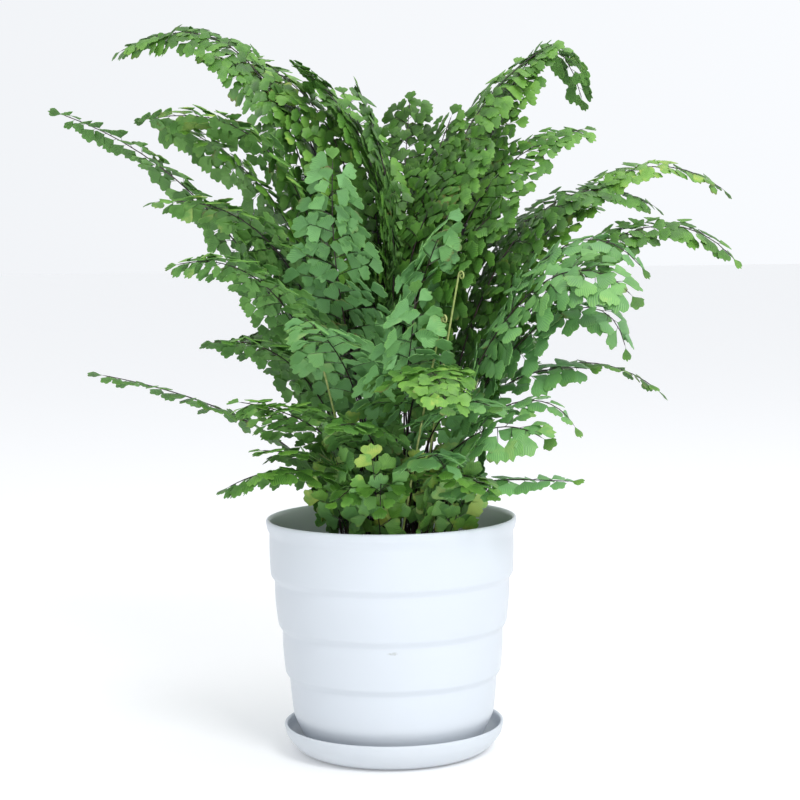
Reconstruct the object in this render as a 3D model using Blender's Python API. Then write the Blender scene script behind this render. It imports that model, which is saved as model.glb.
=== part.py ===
"""Potted maidenhair fern: a banded plastic pot on its saucer, soil, and wiry fronds.

Metres, +Z up. The origin is the middle of the saucer's flat underside, and -Y is the front.
Every frond is one thin sheet: a wiry stem and the leaf blades cut out down to it, given its
thickness by a Solidify modifier. Where a blade would touch another frond it is bent clear,
shortened, or left out.
"""

import math
import random

import bmesh
import bpy
from mathutils import Matrix, Vector
from mathutils.bvhtree import BVHTree

MM = 0.001
GAP = 0.3 * MM  # between pieces that rest on or in one another
SIDES = 32  # round pieces

# Saucer
SAUCER_RIM_RADIUS = 66.2 * MM
SAUCER_HEIGHT = 17.0 * MM
SAUCER_FOOT_RADIUS = 52.0 * MM
SAUCER_FLOOR = 2.2 * MM

# Pot
RIM_RADIUS = 75.0 * MM
RIM_TOP = 141.0 * MM
POT_BOTTOM = SAUCER_FLOOR + GAP
POT_WALL = 2.0 * MM
FOOT_RADIUS = 51.0 * MM
BANDS = (  # top, upper radius, middle radius, lower radius of each band
    (135.0 * MM, 74.0 * MM, 72.9 * MM, 72.8 * MM),
    (105.5 * MM, 71.2 * MM, 69.8 * MM, 68.7 * MM),
    (75.5 * MM, 67.1 * MM, 65.7 * MM, 64.9 * MM),
    (46.5 * MM, 63.2 * MM, 61.2 * MM, 60.2 * MM),
)
BANDS_END = 22.5 * MM  # where the lowest band turns in to the foot
STEP_HEIGHT = 2.5 * MM
FLOOR_TOP = POT_BOTTOM + 3.5 * MM
FOOT_RECESS = 1.2 * MM
DRAIN_HOLES = 5
DRAIN_RADIUS = 3.5 * MM
DRAIN_CIRCLE = 32.0 * MM

# Soil and crown
SOIL_TOP = 124.0 * MM
SOIL_EDGE_DROP = 3.0 * MM
STEM_IN_SOIL = 10.0 * MM
CROWN_INNER = 6.0 * MM
CROWN_OUTER = 30.0 * MM
CROWN_REACH = 180.0 * MM  # a frond that reaches this far stands at the crown's edge
ROOT_ROOM = 6.2 * MM
ROOT_PUSHES = 80

# Fronds
STEM = 1.3 * MM
BLADE = 0.66 * MM
BLADE_ROOT = 2.4 * MM
BLADE_SPACING = 33.0 * MM
FIRST_PAIR = 0.25  # where the first pair of side blades stands, as a share of the spacing
STEM_STATION = 30.0 * MM
TIP_HOLD = 0.38  # how long the curve keeps the tip's direction, as a share of the span
SAG = 0.18
CLEARANCE = 0.95 * MM
LOBED_FROM = 17.0 * MM  # a blade this long has three lobes
WIDEST_BLADE = 25.0 * MM
BROAD_FROM = 28.0 * MM  # a blade this long has the full width
END_BLADE = 11.0 * MM

# One row a frond, chosen by eye. Tip x, y, z in millimetres; the angle of growth at the tip
# over the level, in degrees; how far the stem rises before it leans out and how much of it
# carries leaves, as shares of its length; the longest side blade in millimetres; the roll of
# the leafy part in degrees; and the sideways sway of the stem in millimetres.
FRONDS = (
    # left
    (-186, -20, 381, 20, 0.32, 0.62, 20, 30, 0),
    (-134, 30, 380, 20, 0.37, 0.60, 34, 30, 0),
    (-162, 60, 425, -24, 0.55, 0.45, 28, -20, 0),
    (-120, 80, 425, 10, 0.52, 0.45, 26, 10, 0),
    (-140, 8, 380, -10, 0.50, 0.50, 26, 25, 0),
    (-130, -45, 330, -5, 0.42, 0.50, 24, 25, 0),
    (-115, -80, 295, -10, 0.40, 0.55, 24, 25, 0),
    (-98, -55, 250, -5, 0.38, 0.55, 24, 20, -1),
    (-165, -30, 230, 12, 0.34, 0.62, 13, 10, 0),
    (-90, -75, 170, -20, 0.50, 0.62, 20, 10, 0),
    # top
    (-85, 65, 420, 20, 0.50, 0.50, 32, 0, 0),
    (-50, 30, 410, 35, 0.45, 0.50, 32, 25, 0),
    (-25, 55, 395, 45, 0.45, 0.50, 28, 0, 0),
    (-15, 10, 395, 65, 0.45, 0.50, 26, 25, 0),
    (15, 60, 390, 70, 0.50, 0.50, 30, 0, 0),
    (40, 40, 380, 60, 0.50, 0.50, 28, 0, 0),
    (55, 20, 360, 40, 0.45, 0.50, 34, 20, 0),
    # front
    (-30, -60, 350, 84, 0.50, 0.55, 38, 0, -10),
    (30, -135, 220, -35, 0.75, 0.62, 34, 0, 4),
    (-45, -110, 265, 20, 0.50, 0.50, 30, 0, 0),
    # right
    (135, -75, 275, -45, 0.46, 0.62, 38, 35, 0),
    (135, -50, 245, -75, 0.60, 0.50, 28, 20, 8),
    (115, -25, 230, -5, 0.45, 0.50, 24, 25, 6),
    (160, 5, 215, -40, 0.60, 0.50, 10, 0, 0),
    (105, -50, 200, -55, 0.52, 0.40, 16, 0, 0),
    (85, -75, 195, -25, 0.42, 0.55, 30, 35, 0),
    (100, -75, 170, 0, 0.42, 0.60, 20, 10, -8),
    (203, -8, 294, -48, 0.44, 0.60, 24, 25, 0),
    (205, 40, 335, -35, 0.45, 0.60, 22, 20, 0),
    (160, 20, 325, -30, 0.50, 0.55, 26, 20, 0),
    (145, -40, 290, -50, 0.46, 0.50, 22, 15, 0),
    (120, 45, 372, 10, 0.42, 0.50, 34, 20, 0),
    (102, 70, 425, 26, 0.42, 0.42, 22, 10, 0),
    (125, 95, 395, -70, 0.56, 0.50, 28, 0, 0),
    (82, 95, 415, 42, 0.42, 0.42, 22, 0, 0),
    # low in front
    (30, -90, 180, -25, 0.60, 0.55, 24, 0, 4),
    (55, -80, 165, -20, 0.60, 0.55, 20, 0, 8),
    (-6, -72, 158, -40, 0.90, 0.60, 20, 0, -2),
    (-72, -58, 188, 5, 0.38, 0.55, 24, 10, -1),
    (-27, -103, 206, 0, 0.60, 0.55, 24, 0, 1),
    (-82, -86, 218, 10, 0.46, 0.55, 28, 20, -3),
    (55, -95, 215, -10, 0.50, 0.50, 28, 0, 0),
    # inside the clump
    (-80, -10, 305, 10, 0.45, 0.50, 32, 30, 0),
    (-55, 10, 340, 30, 0.45, 0.50, 34, 30, 0),
    (35, -40, 320, 55, 0.50, 0.55, 34, 10, 0),
    (75, 0, 330, 35, 0.45, 0.55, 34, 20, 0),
    (-30, -65, 160, -25, 0.70, 0.60, 18, 0, 3),
    (15, -90, 275, 70, 0.50, 0.50, 32, 10, 0),
    # back
    (-120, 110, 330, 0, 0.50, 0.55, 34, 0, 0),
    (-65, 145, 350, 5, 0.50, 0.55, 36, 0, 0),
    (16, 165, 330, -10, 0.50, 0.55, 36, 0, 0),
    (75, 140, 350, 5, 0.50, 0.55, 36, 0, 4),
    (130, 105, 325, -5, 0.50, 0.55, 34, 0, 0),
    (-90, 125, 240, -25, 0.50, 0.50, 34, 0, 0),
    (-10, 150, 225, -25, 0.50, 0.50, 34, 0, 0),
    (90, 125, 235, -25, 0.50, 0.50, 34, 0, 0),
)

UP = Vector((0.0, 0.0, 1.0))


# ---------------------------------------------------------------- materials and meshes


def material(name, colour, roughness):
    """A plain Principled material."""
    made = bpy.data.materials.new(name)
    made.use_nodes = True
    shader = made.node_tree.nodes["Principled BSDF"]
    shader.inputs["Base Color"].default_value = (*colour, 1.0)
    shader.inputs["Roughness"].default_value = roughness
    shader.inputs["Metallic"].default_value = 0.0
    return made


def add_object(name, mesh, finish):
    """Put a mesh in the scene as a named object with one material."""
    placed = bpy.data.objects.new(name, mesh)
    bpy.context.scene.collection.objects.link(placed)
    mesh.materials.append(finish)
    return placed


def turned(name, profile, finish):
    """Turn a profile of (radius, height) points, which starts and ends on the axis."""
    bm = bmesh.new()
    points = [bm.verts.new((radius, 0.0, height)) for radius, height in profile]
    edges = [bm.edges.new(pair) for pair in zip(points, points[1:])]
    bmesh.ops.spin(
        bm, geom=points + edges, cent=(0, 0, 0), axis=UP, angle=math.tau, steps=SIDES, use_duplicate=False
    )
    bmesh.ops.remove_doubles(bm, verts=bm.verts, dist=0.01 * MM)
    bmesh.ops.recalc_face_normals(bm, faces=bm.faces)
    mesh = bpy.data.meshes.new(name)
    bm.to_mesh(mesh)
    bm.free()
    mesh.shade_smooth()
    mesh.set_sharp_from_angle(angle=math.radians(35))
    return add_object(name, mesh, finish)


def cut(target, cutters, name):
    """Join the cutters' boxes or pegs in one hidden object and take it out of the target."""
    bm = bmesh.new()
    for cutter in cutters:
        cutter(bm)
    mesh = bpy.data.meshes.new(name)
    bm.to_mesh(mesh)
    bm.free()
    tool = bpy.data.objects.new(name, mesh)
    bpy.context.scene.collection.objects.link(tool)
    tool.hide_render = True
    tool.display_type = "WIRE"
    holes = target.modifiers.new(name, "BOOLEAN")
    holes.operation = "DIFFERENCE"
    holes.object = tool


# ---------------------------------------------------------------- saucer, pot and soil


def saucer(finish):
    """A shallow dish with a rounded side and a flat underside."""
    rim = SAUCER_RIM_RADIUS
    foot = SAUCER_FOOT_RADIUS
    profile = (
        (0.0, SAUCER_FLOOR),
        (foot + 1.0 * MM, SAUCER_FLOOR),
        (foot + 6.5 * MM, 6.5 * MM),
        (rim - 3.2 * MM, 11.5 * MM),
        (rim - 2.0 * MM, SAUCER_HEIGHT - 0.4 * MM),
        (rim - 1.2 * MM, SAUCER_HEIGHT),
        (rim - 0.2 * MM, SAUCER_HEIGHT - 0.5 * MM),
        (rim - 1.3 * MM, 11.0 * MM),
        (foot + 6.3 * MM, 3.4 * MM),
        (foot + 2.0 * MM, 0.7 * MM),
        (foot, 0.0),
        (0.0, 0.0),
    )
    return turned("saucer", profile, finish)


def inner_wall():
    """The pot's inner wall, from the floor up: straight past the bands' narrow ends."""
    return [
        (FOOT_RADIUS - 1.5 * MM, FLOOR_TOP),
        (BANDS[-1][3] - POT_WALL - 0.7 * MM, BANDS_END),
        (BANDS[0][3] - POT_WALL - 0.7 * MM, BANDS[1][0]),
    ]


def pot(finish):
    """Four stepped bands under a small rolled lip, a foot ring and a floor with drain holes."""
    profile = [(0.0, FLOOR_TOP), *inner_wall()]
    profile += [
        (RIM_RADIUS - 2.6 * MM, RIM_TOP - 1.4 * MM),
        (RIM_RADIUS - 1.0 * MM, RIM_TOP),
        (RIM_RADIUS, RIM_TOP - 0.9 * MM),
        (RIM_RADIUS, RIM_TOP - 3.0 * MM),
    ]
    ends = [band[0] + STEP_HEIGHT for band in BANDS[1:]] + [BANDS_END]
    for (top, upper, middle, lower), end in zip(BANDS, ends):
        profile += [(upper, top), (middle, (top + end) / 2), (lower, end)]
    profile += [
        (FOOT_RADIUS, POT_BOTTOM),
        (FOOT_RADIUS - 3.0 * MM, POT_BOTTOM),
        (FOOT_RADIUS - 3.5 * MM, POT_BOTTOM + FOOT_RECESS),
        (0.0, POT_BOTTOM + FOOT_RECESS),
    ]
    made = turned("pot", profile, finish)

    def peg(turn):
        place = Matrix.Rotation(turn, 4, "Z") @ Matrix.Translation((DRAIN_CIRCLE, 0.0, FLOOR_TOP))
        return lambda bm: bmesh.ops.create_cone(
            bm, cap_ends=True, segments=8, radius1=DRAIN_RADIUS, radius2=DRAIN_RADIUS, depth=20 * MM, matrix=place
        )

    cut(made, [peg(math.tau * index / DRAIN_HOLES) for index in range(DRAIN_HOLES)], "drain_hole_cutter")
    return made


def soil(finish, spines):
    """The soil, a little lower at the wall, with a plain hole for each stem."""
    wall = [(radius - GAP, height) for radius, height in inner_wall()]
    edge_height = SOIL_TOP - SOIL_EDGE_DROP
    (low_radius, low), (lip_radius, lip) = wall[-1], (RIM_RADIUS - 2.6 * MM - GAP, RIM_TOP - 1.4 * MM)
    edge_radius = low_radius + (lip_radius - low_radius) * (edge_height - low) / (lip - low)
    profile = [(0.0, SOIL_TOP), (CROWN_OUTER + 15 * MM, SOIL_TOP), (edge_radius, edge_height)]
    profile += wall[:0:-1]
    profile += [(wall[0][0], FLOOR_TOP + GAP), (0.0, FLOOR_TOP + GAP)]
    made = turned("soil", profile, finish)
    depth = STEM_IN_SOIL + 2 * GAP
    width = STEM + 2.6 * GAP

    def hole(spine):
        middle = spine.root + UP * (1.0 * MM - depth / 2)
        place = Matrix.Translation(middle) @ Matrix.Rotation(spine.heading, 4, "Z")
        size = Matrix.Diagonal((width, width, depth + 2.0 * MM, 1.0))
        return lambda bm: bmesh.ops.create_cube(bm, size=1.0, matrix=place @ size)

    cut(made, [hole(spine) for spine in spines], "stem_hole_cutter")
    return made


# ---------------------------------------------------------------- stems


def crown_places():
    """Where each stem stands: out from the middle the way its frond leans, then given room."""
    places = []
    for row in FRONDS:
        lean = Vector(row[:2]) * MM
        share = min(lean.length / CROWN_REACH, 1.0)
        places.append(lean.normalized() * (CROWN_INNER + (CROWN_OUTER - CROWN_INNER) * share))
    for _ in range(ROOT_PUSHES):
        for i, place in enumerate(places):
            for j in range(i):
                apart = place - places[j]
                if apart.length < ROOT_ROOM:
                    push = apart.normalized() * (ROOT_ROOM - apart.length) / 2
                    place += push
                    places[j] -= push
    return [Vector((*place, SOIL_TOP)) for place in places]


class Spine:
    """The middle line of one frond, read by the distance along it from the soil."""

    SAMPLES = 80

    def __init__(self, row, root):
        x, y, z, nod, rise, leafy, wide, roll, sway = row
        self.root = root
        tip = Vector((x, y, z)) * MM
        span = tip - root
        out = Vector((span.x, span.y, 0.0)).normalized()
        self.heading = math.atan2(out.y, out.x)
        self.side = UP.cross(out)
        growth = out * math.cos(math.radians(nod)) + UP * math.sin(math.radians(nod))
        bow = self.side * sway * MM
        self.ends = (
            root,
            root + UP * rise * span.length + bow,
            tip - growth * TIP_HOLD * span.length + bow,
            tip,
        )
        self.steps = [0.0]
        for index in range(1, self.SAMPLES):
            step = self.curve(index / (self.SAMPLES - 1)) - self.curve((index - 1) / (self.SAMPLES - 1))
            self.steps.append(self.steps[-1] + step.length)
        self.length = self.steps[-1]
        self.leaf_start = self.length * (1.0 - leafy)
        self.wide = wide * MM
        self.roll = math.radians(roll)

    def curve(self, t):
        a, b, c, d = self.ends
        return (1 - t) ** 3 * a + 3 * (1 - t) ** 2 * t * b + 3 * (1 - t) * t**2 * c + t**3 * d

    def share(self, distance):
        """The curve's parameter at a distance."""
        for index in range(1, self.SAMPLES):
            if distance <= self.steps[index] or index == self.SAMPLES - 1:
                step = self.steps[index] - self.steps[index - 1]
                part = (distance - self.steps[index - 1]) / step
                return (index - 1 + min(part, 1.0)) / (self.SAMPLES - 1)

    def frame(self, distance):
        """Place, growth direction, side direction and upper side at a distance."""
        if distance <= 0.0:
            place, along = self.root + UP * distance, UP
        else:
            t = self.share(distance)
            a, b, c, d = self.ends
            slope = (1 - t) ** 2 * (b - a) + 2 * (1 - t) * t * (c - b) + t**2 * (d - c)
            place, along = self.curve(t), slope.normalized()
        side = (self.side - along * self.side.dot(along)).normalized()
        upper = along.cross(side)
        roll = self.roll * min(max(distance, 0.0) / self.length * 2, 1.0)
        turned_side = side * math.cos(roll) + upper * math.sin(roll)
        turned_upper = upper * math.cos(roll) - side * math.sin(roll)
        return place, along, turned_side, turned_upper


def taper(share):
    """Length of the side blades along the leafy part, against the longest."""
    if share < 0.2:
        return 0.72 + 1.4 * share
    return 1.0 - 0.76 * ((share - 0.2) / 0.8) ** 1.25


# ---------------------------------------------------------------- fronds


class Sheet:
    """The middle surface of one frond, before it is given its thickness."""

    def __init__(self):
        self.points = []
        self.stem_points = []
        self.triangles = []

    def add(self, place, on_stem=False):
        self.points.append(place)
        if on_stem:
            self.stem_points.append(len(self.points) - 1)
        return len(self.points) - 1


# A blade's outer points, along and across it as shares of its length and width, from its
# lower corner round to its upper one, and its triangles. Points 0 and 1 are its foot.
KITE = ((0.62, -0.50), (1.0, 0.05), (0.60, 0.50))
KITE_FACES = ((0, 2, 3), (0, 3, 1), (1, 3, 4))
LOBED = ((0.46, -0.52), (0.68, -0.27), (1.0, 0.04), (0.72, 0.29), (0.44, 0.54))
LOBED_FACES = ((0, 2, 3), (0, 3, 5), (0, 5, 1), (3, 4, 5), (1, 5, 6))


def blade_points(low, high, way, across, length, width, outer):
    """The points of a blade that grows between two points of the stem's edge."""
    foot = (low + high) / 2
    points = [low, high]
    for along, off in outer:
        reach = along * length
        place = foot + way * reach + across * off * width
        points.append(place - UP * SAG * reach * reach / length)
    return points


def thick_tree(points, faces, normal):
    """A fattened copy of a blade, for the test of what it would touch."""
    middle = sum(points, Vector()) / len(points)
    grown = [middle + (point - middle) * 1.1 for point in points[2:]]
    grown = [point + (middle - point) * 0.12 for point in points[:2]] + grown
    count = len(grown)
    upper = [point + normal * CLEARANCE for point in grown]
    lower = [point - normal * CLEARANCE for point in grown]
    ring = [0, *range(2, count), 1]
    triangles = list(faces) + [(a + count, b + count, c + count) for a, b, c in faces]
    for a, b in zip(ring, ring[1:] + ring[:1]):
        triangles += [(a, b, b + count), (a, b + count, a + count)]
    return Obstacle(upper + lower, triangles)


class Obstacle:
    """Something that a blade may not touch: its triangles and its box."""

    def __init__(self, points, triangles):
        self.tree = BVHTree.FromPolygons(points, triangles)
        self.low = [min(point[axis] for point in points) for axis in range(3)]
        self.high = [max(point[axis] for point in points) for axis in range(3)]

    def touches(self, other):
        for axis in range(3):
            if self.low[axis] > other.high[axis] or other.low[axis] > self.high[axis]:
                return False
        return bool(self.tree.overlap(other.tree))


def stem_obstacles(spine):
    """Short lengths of a stem, each two crossed strips a little wider than the stem."""
    count = max(2, round(spine.length / (8 * MM)))
    half = STEM / 2 + GAP
    made = []
    for index in range(count):
        points = []
        for distance in (spine.length * index / count, spine.length * (index + 1) / count):
            place, _, side, upper = spine.frame(distance)
            points += [place - side * half, place + side * half, place - upper * half, place + upper * half]
        made.append(Obstacle(points, ((0, 1, 5), (0, 5, 4), (2, 3, 7), (2, 7, 6))))
    return made


def mesh_obstacle(piece):
    """The evaluated mesh of a finished piece as an obstacle."""
    mesh = piece.evaluated_get(bpy.context.evaluated_depsgraph_get()).to_mesh()
    points = [vert.co.copy() for vert in mesh.vertices]
    return Obstacle(points, [tuple(face.vertices) for face in mesh.polygons])


def side_blades(spine):
    """Where the pairs of side blades grow: share of the leafy part, and distance from the soil."""
    leafy = spine.length - spine.leaf_start
    count = max(3, round(leafy / BLADE_SPACING))
    shares = [(index + FIRST_PAIR) / count for index in range(count)]
    return [(share, spine.leaf_start + leafy * share) for share in shares]


def grow_blade(spine, corners, edge, share, distance, luck, blocked):
    """Bend, then shorten, one blade until it is clear. Returns its points and faces or None."""
    _, along, side, upper = spine.frame(distance)
    length = spine.wide * taper(share)
    spread = math.radians(68 - 26 * share)
    way = along * math.cos(spread) + side * edge * math.sin(spread)
    hinge = way.cross(upper)
    across = hinge * edge
    tilt = luck.uniform(-10, 10)
    for scale in (1.0, 0.8, 0.62, 0.45):
        reach = length * scale
        width = WIDEST_BLADE * min(length / BROAD_FROM, 1.0) * (1.0 + scale) / 2
        outer, faces = (LOBED, LOBED_FACES) if reach > LOBED_FROM else (KITE, KITE_FACES)
        for lift in (0, 20, -20, 38, -38):
            turn = Matrix.Rotation(math.radians(lift + tilt), 3, hinge) @ way
            points = blade_points(*corners, turn, across, reach, width, outer)
            probe = thick_tree(points, faces, turn.cross(across).normalized())
            if not blocked(probe):
                return points, faces
    return None


def frond(name, spine, finish, luck, blocked, keep):
    """One frond: stem, side blades and end blade in one sheet."""
    sheet = Sheet()
    pairs = side_blades(spine)
    steps = max(1, round(spine.leaf_start / STEM_STATION))
    stops = [-STEM_IN_SOIL, 0.0]
    stops += [spine.leaf_start * index / steps for index in range(1, steps)]
    for _, distance in pairs:
        stops += [distance, distance + BLADE_ROOT]
    stops.append(spine.length)
    rungs = {}
    for stop in stops:
        place, _, side, _ = spine.frame(stop)
        half = STEM / 2 * (1.0 if stop < spine.leaf_start else 0.85)
        rungs[stop] = {edge: sheet.add(place + side * edge * half, on_stem=True) for edge in (-1, 1)}
    for share, distance in pairs:
        for edge in (-1, 1):
            low, high = rungs[distance][edge], rungs[distance + BLADE_ROOT][edge]
            corners = (sheet.points[low], sheet.points[high])
            grown = grow_blade(spine, corners, edge, share, distance, luck, blocked)
            if grown:
                add_blade(sheet, low, high, grown, flip=edge < 0)
                keep(Obstacle(*grown))
    add_end_blade(sheet, spine, rungs[spine.length], blocked, keep)
    for lower, upper in zip(stops, stops[1:]):
        (a, b), (c, d) = rungs[lower].values(), rungs[upper].values()
        sheet.triangles += [(a, b, c), (c, b, d)]
    return thickened(name, sheet, finish)


def add_blade(sheet, low, high, grown, flip):
    """Sew a blade to the stem along its foot."""
    points, faces = grown
    numbers = [low, high] + [sheet.add(point) for point in points[2:]]
    for face in faces:
        triangle = [numbers[corner] for corner in face]
        sheet.triangles.append(triangle[::-1] if flip else triangle)


def add_end_blade(sheet, spine, rung, blocked, keep):
    """The blade that ends the frond, if it is clear."""
    low, high = rung[-1], rung[1]
    _, along, side, upper = spine.frame(spine.length)
    corners = (sheet.points[low], sheet.points[high])
    points = blade_points(*corners, along, side, END_BLADE, END_BLADE, KITE)
    if not blocked(thick_tree(points, KITE_FACES, upper)):
        add_blade(sheet, low, high, (points, KITE_FACES), flip=True)
        keep(Obstacle(points, KITE_FACES))


def thickened(name, sheet, finish):
    """Make the sheet an object, as thick as the stem on the stem and thinner on the blades."""
    mesh = bpy.data.meshes.new(name)
    mesh.from_pydata(sheet.points, [], sheet.triangles)
    made = add_object(name, mesh, finish)
    stem = made.vertex_groups.new(name="stem")
    stem.add(sheet.stem_points, 1.0, "REPLACE")
    solid = made.modifiers.new("thickness", "SOLIDIFY")
    solid.thickness = STEM
    solid.offset = 0.0
    solid.vertex_group = stem.name
    solid.thickness_vertex_group = BLADE / STEM
    return made


def fronds(finish, spines, solids):
    """All the fronds, from the front to the back."""
    stems = [stem_obstacles(spine) for spine in spines]
    blades = []
    for index in sorted(range(len(spines)), key=lambda i: FRONDS[i][1]):
        others = [piece for i, stem in enumerate(stems) if i != index for piece in stem]

        def blocked(probe, others=others):
            return any(probe.touches(piece) for piece in solids + others + blades)

        luck = random.Random(index)
        frond(f"frond_{index + 1:02d}", spines[index], finish, luck, blocked, blades.append)


def build():
    """Make every piece."""
    for old in list(bpy.data.objects):
        bpy.data.objects.remove(old)
    white = material("white_plastic", (0.86, 0.88, 0.92), 0.35)
    dish = material("saucer_plastic", (0.86, 0.88, 0.92), 0.30)
    earth = material("potting_soil", (0.07, 0.045, 0.03), 0.95)
    leaf = material("fern_green", (0.10, 0.26, 0.06), 0.55)
    spines = [Spine(row, root) for row, root in zip(FRONDS, crown_places())]
    solids = [saucer(dish), pot(white), soil(earth, spines)]
    bpy.context.view_layer.update()
    fronds(leaf, spines, [mesh_obstacle(piece) for piece in solids[1:2]])


build()
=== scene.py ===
"""Potted maidenhair fern: the finished surfaces.

Metres, +Z up, the front towards -Y. The pot, the saucer, the soil and every frond are
modelled again here, finer, on the same lines as their solids.
"""

import math
import random

import bmesh
import bpy
import numpy as np
from mathutils import Matrix, Vector


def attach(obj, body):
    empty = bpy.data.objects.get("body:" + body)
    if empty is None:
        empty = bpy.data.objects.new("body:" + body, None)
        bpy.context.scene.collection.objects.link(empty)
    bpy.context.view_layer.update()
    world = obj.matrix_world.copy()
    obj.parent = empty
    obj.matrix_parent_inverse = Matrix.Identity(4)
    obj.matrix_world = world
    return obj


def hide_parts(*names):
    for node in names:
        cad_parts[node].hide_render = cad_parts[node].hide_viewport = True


MM = 0.001
UP = Vector((0.0, 0.0, 1.0))

# Saucer
SAUCER_RIM_RADIUS = 66.2 * MM
SAUCER_HEIGHT = 17.0 * MM
SAUCER_FOOT_RADIUS = 52.0 * MM
SAUCER_FLOOR = 2.2 * MM

# Pot
RIM_RADIUS = 75.0 * MM
RIM_TOP = 141.0 * MM
POT_BOTTOM = 2.5 * MM
POT_WALL = 2.0 * MM
FOOT_RADIUS = 51.0 * MM
BANDS = (  # top, upper radius, middle radius, lower radius of each band
    (135.0 * MM, 74.0 * MM, 72.9 * MM, 72.8 * MM),
    (105.5 * MM, 71.2 * MM, 69.8 * MM, 68.7 * MM),
    (75.5 * MM, 67.1 * MM, 65.7 * MM, 64.9 * MM),
    (46.5 * MM, 63.2 * MM, 61.2 * MM, 60.2 * MM),
)
BANDS_END = 22.5 * MM
STEP_HEIGHT = 2.5 * MM
SOFT_STEP = 2.4 * MM  # how far a step is drawn out into the bands
COVE = 0.9 * MM  # hollow under a step
SWELL = 0.35 * MM  # fullness of a band
FLOOR_TOP = 6.0 * MM
DRAIN_HOLES = 5
DRAIN_RADIUS = 3.5 * MM
DRAIN_CIRCLE = 32.0 * MM
ROUND_SIDES = 128
PLASTIC = (0.635, 0.68, 0.735)  # cool white
MARK_HEIGHT = 71.0 * MM  # a small rubbed mark on the front of the pot
MARK_WIDE = 4.0 * MM
MARK_TALL = 1.2 * MM

# Soil and crown
SOIL_TOP = 124.0 * MM
SOIL_EDGE_DROP = 3.0 * MM
SOIL_SLOPE = 20.0 * MM  # how far from the wall the soil begins to fall
SOIL_RADIUS = 71.0 * MM  # at its top
STEM_IN_SOIL = 10.0 * MM
CROWN_INNER = 6.0 * MM  # the ring in which the stems stand, from here
CROWN_OUTER = 30.0 * MM  # to here
CROWN_REACH = 180.0 * MM  # a frond that leans so far stands on the outer ring
ROOT_ROOM = 6.2 * MM  # between two stems
ROOT_PUSHES = 80
CRUMBS = 260
CRUMB_REACH = 68.0 * MM

# Fronds
STEM_FOOT = 0.78 * MM  # radius of the stem at the soil
STEM_TIP = 0.26 * MM
STEM_STOPS = 26  # places along a stem
TIP_HOLD = 0.38  # how long a stem keeps the angle of its tip, as a share of its length
SAG = 0.18  # droop of a side stem
DEEP_SAG = 0.42
SIDE_STEP = 12.0 * MM  # between side stems on one side, at the foot of the leafy part
SIDE_STEP_END = 7.5 * MM
SIDE_ANGLE = 76  # of a side stem to the stem, in degrees
SIDE_ANGLE_END = 56
STALK_RADIUS = 0.26 * MM
LEAF_LENGTH = 11.5 * MM
LEAF_STEP = 4.4 * MM  # between the leaves of a side stem
LEAF_FIRST = 3.0 * MM
MOST_LEAVES = 7  # on one side stem
LEAF_EDGE = 18  # points round a leaf
LEAF_THICKNESS = 0.03  # as a share of its length
NOTCH = 0.86  # reach of a notch in the outer edge, as a share of the leaf's
YELLOW_LEAVES = 0.012  # share of the leaves that have turned
LEAF_WIDTHS = (1.0, 1.15, 1.15, 1.25, 1.14, 0.94, 0.58, 0.32, 0.14, 1.0)  # across it, top to stalk
SHOOTS = 32
SHOOT_RING = (10, 42)  # where they stand, in millimetres from the middle
SHOOT_HEIGHTS = (14, 85)  # in millimetres
CURL = 2.8 * MM  # radius of a crozier's curl
CURL_STEPS = 16
CURL_TURN = 28  # degrees a step
CROZIER_RADIUS = 0.75 * MM  # of its stalk, at the foot
CROZIERS = (  # foot and top of each curled new frond, in millimetres
    ((14, -24, 121), (40, -62, 286)),
    ((4, -30, 121), (30, -74, 262)),
    ((-16, -22, 121), (-38, -52, 236)),
    ((-6, 26, 121), (10, 62, 258)),
    ((26, 12, 121), (60, 24, 240)),
)
LOWER_LEAVES = 0.07  # how much further down the leaves reach on a high frond, as a share of it
HIGH_FROND = 240.0 * MM
BLOOMED_AND_LIT_FRONDS = (18, 20, 21, 22, 23, 25, 26, 27, 31, 36, 42, 45, 48)  # fronds with a pale blue-green bloom, partly their own colour and partly painted light, as they face the lit front
FULL_TIPS = range(11, 18)  # fronds whose tips are still broad
DROOPING = (2, 3, 10, 33, 35)  # fronds whose side stems hang
PAINTED_SHADE_FRONDS = (12, 14, 15, 16, 17, 30, 43, 44, 46, *range(49, 57))  # fronds inside and behind the clump, their leaves darkened as painted shade

# Studio
FLOOR_SIZE = 30.0
FLOOR_HEIGHT = -0.5 * MM
FLOOR_GLOW = 0.1  # the floor is lit faintly from under, so its far side stays pale
AIR_COLOUR = (0.95, 0.97, 1.0, 1.0)
AIR_LEVEL = 0.87
AIR_SLANT = (0.16, 0.10, 0.0)  # the air is brighter towards here
LIGHTS = (  # name, place, size and power
    ("key_light", (0.7, -1.4, 1.4), 0.6, 16.0),
    ("front_light", (-0.1, -1.7, 0.5), 0.9, 3.5),
    ("top_light", (0.3, 0.1, 1.7), 0.8, 4.0),
)
LIGHTS_AIM = (0.0, 0.0, 0.2)
LENS = 91.0
CAMERA_PLACE = (0.0, -1.204, 0.312)
CAMERA_PITCH = -4.80  # degrees, as are the next two
CAMERA_TURN = -0.30
CAMERA_ROLL = -0.8

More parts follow.
